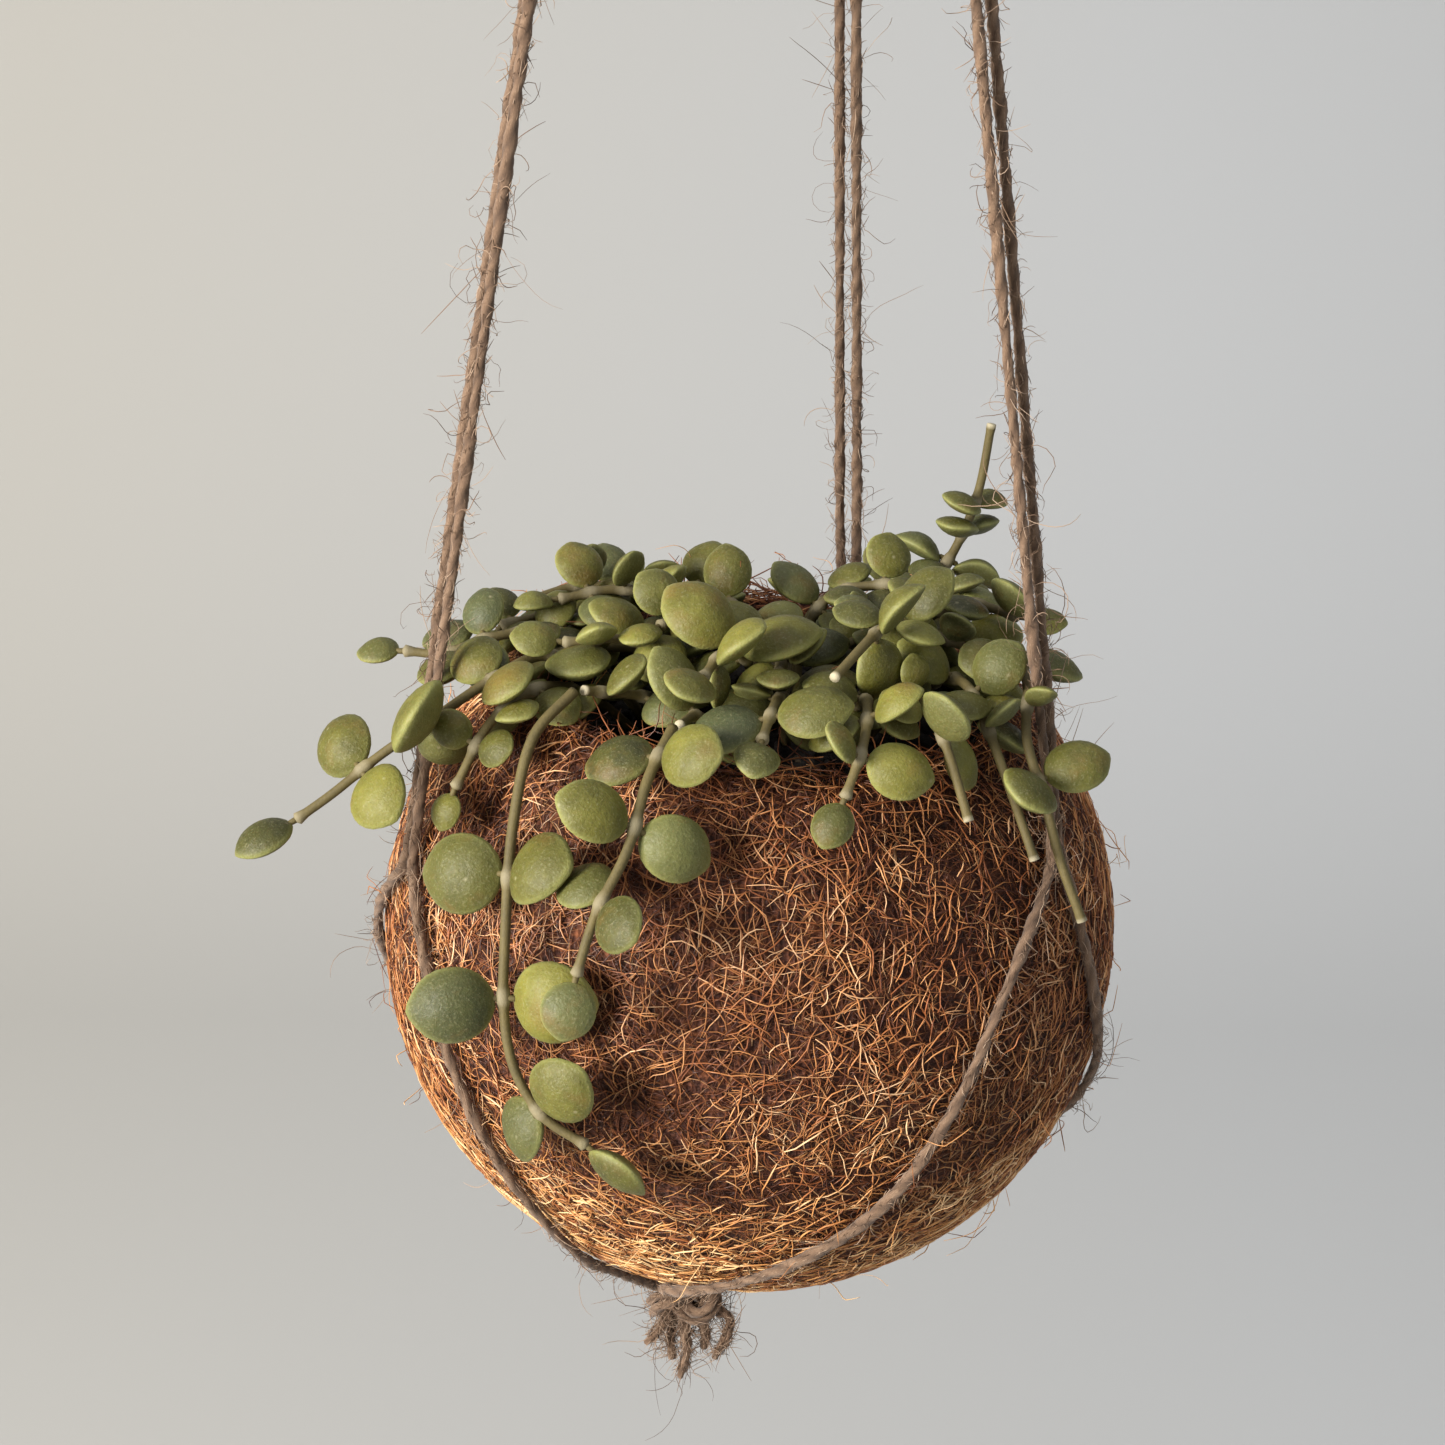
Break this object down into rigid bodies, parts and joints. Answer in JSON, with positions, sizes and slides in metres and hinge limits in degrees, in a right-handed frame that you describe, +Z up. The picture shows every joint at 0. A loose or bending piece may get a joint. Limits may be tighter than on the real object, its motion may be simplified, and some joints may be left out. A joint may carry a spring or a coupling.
{
  "type": "hanging planter",
  "caption": "Ball-shaped coir pot with a round-leaved trailing plant, carried in a six-strand jute twine sling with a hanging eye at the top.",
  "frame": {"origin": "where the hanging eye bears on its hook, at the inside top of the eye", "axes": "+Z up along the line the planter hangs on, +X to the right and +Y to the back as the planter is seen from the front"},
  "size_m": [0.1587, 0.1522, 0.5544],
  "materials": {
    "twine": "dry, hairy two-ply jute",
    "coir": "matted coarse fibre",
    "mix": "damp crumbly peat and bark",
    "roots": "matted fine roots",
    "foliage": "matt, slightly powdery succulent leaf"
  },
  "bodies": {
    "eye": {"hanging_loop": "twine"},
    "gather": {"top_knot": "twine"},
    "sling_and_pot": {"bottom_knot": "twine", "strand_left_front": "twine", "strand_left_back": "twine", "strand_right_front": "twine", "strand_right_back": "twine", "strand_back_left": "twine", "strand_back_right": "twine", "tassel_long": "twine", "tassel_middle": "twine", "tassel_left": "twine", "tassel_right": "twine", "tassel_right_back": "twine", "tassel_back": "twine", "coir_pot": "coir", "potting_mix": "mix", "root_ball": "roots", "vine_trail_long_root": "foliage", "vine_trail_front_root": "foliage", "vine_left_low": "foliage", "vine_left_mid": "foliage", "vine_left_front": "foliage", "vine_left_inner": "foliage", "vine_back_left": "foliage", "vine_back_middle": "foliage", "vine_back_right": "foliage", "vine_top_left": "foliage", "vine_top_middle": "foliage", "vine_top_right": "foliage", "vine_middle_left": "foliage", "vine_middle_right": "foliage", "vine_centre": "foliage", "vine_left_back": "foliage", "vine_disc": "foliage", "vine_front": "foliage", "vine_stub": "foliage", "vine_front_right": "foliage", "vine_right_inner": "foliage", "vine_right": "foliage", "vine_cord_side": "foliage", "vine_upright": "foliage", "vine_right_top": "foliage"},
    "trail_long": {"vine_trail_long": "foliage"},
    "trail_front": {"vine_trail_front": "foliage"}
  },
  "joints": [
    {"name": "swing_side", "type": "hinge", "parent": "eye", "child": "gather", "pos_m": [0, 0, -0.04], "axis": [0, 1, 0], "range_deg": [-20, 20]},
    {"name": "swing_front", "type": "hinge", "parent": "gather", "child": "sling_and_pot", "pos_m": [0, 0, -0.04], "axis": [1, 0, 0], "range_deg": [-20, 20]},
    {"name": "trail_long_lift", "type": "hinge", "parent": "sling_and_pot", "child": "trail_long", "pos_m": [-0.0308, -0.0335, -0.3889], "axis": [-0.72, 0.694, 0], "range_deg": [0, 20]},
    {"name": "trail_front_lift", "type": "hinge", "parent": "sling_and_pot", "child": "trail_front", "pos_m": [-0.0135, -0.047, -0.3898], "axis": [-0.9629, 0.27, 0], "range_deg": [0, 20]}
  ]
}
